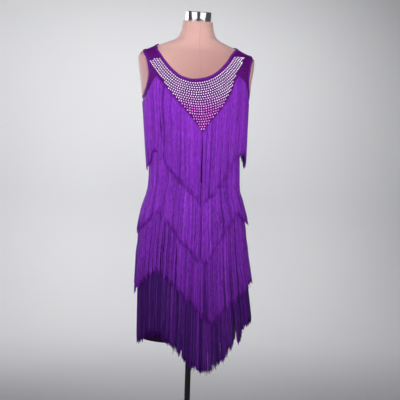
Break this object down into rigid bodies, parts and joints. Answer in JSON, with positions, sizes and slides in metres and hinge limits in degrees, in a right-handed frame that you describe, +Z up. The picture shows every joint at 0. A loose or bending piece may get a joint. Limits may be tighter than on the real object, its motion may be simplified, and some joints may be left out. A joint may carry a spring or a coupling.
{
  "type": "latin dance dress on a dress form",
  "caption": "Sleeveless latin dance dress with zigzag tiers of long fringe and a stone-set scoop neckline, worn by a limbless dress form on a pole stand.",
  "frame": {"origin": "on the floor under the middle of the base plate, on the pole's axis", "axes": "+Z up along the pole; the front of the dress faces -Y; +X is the wearer's left"},
  "size_m": [0.3913, 0.34, 1.5184],
  "materials": {
    "jersey": "stretch jersey with a soft sheen",
    "binding": "folded stretch binding, slightly shiny",
    "fringe": "smooth chainette fringe with a silky sheen",
    "form_cover": "matt stretch cover",
    "arm_cap": "matt padded cloth",
    "neck_cap": "polished",
    "black_steel": "satin black"
  },
  "bodies": {
    "root": {"dress_front": "jersey", "dress_back": "jersey", "neck_binding": "binding", "armhole_binding_left": "binding", "armhole_binding_right": "binding", "fringe_tier_1": "fringe", "fringe_tier_2": "fringe", "fringe_tier_3": "fringe", "fringe_tier_4": "fringe", "dress_form": "form_cover", "arm_cap_left": "arm_cap", "arm_cap_right": "arm_cap", "neck_cap": "neck_cap", "pole": "black_steel", "form_flange": "black_steel", "base_collar": "black_steel", "base_plate": "black_steel"}
  },
  "joints": []
}
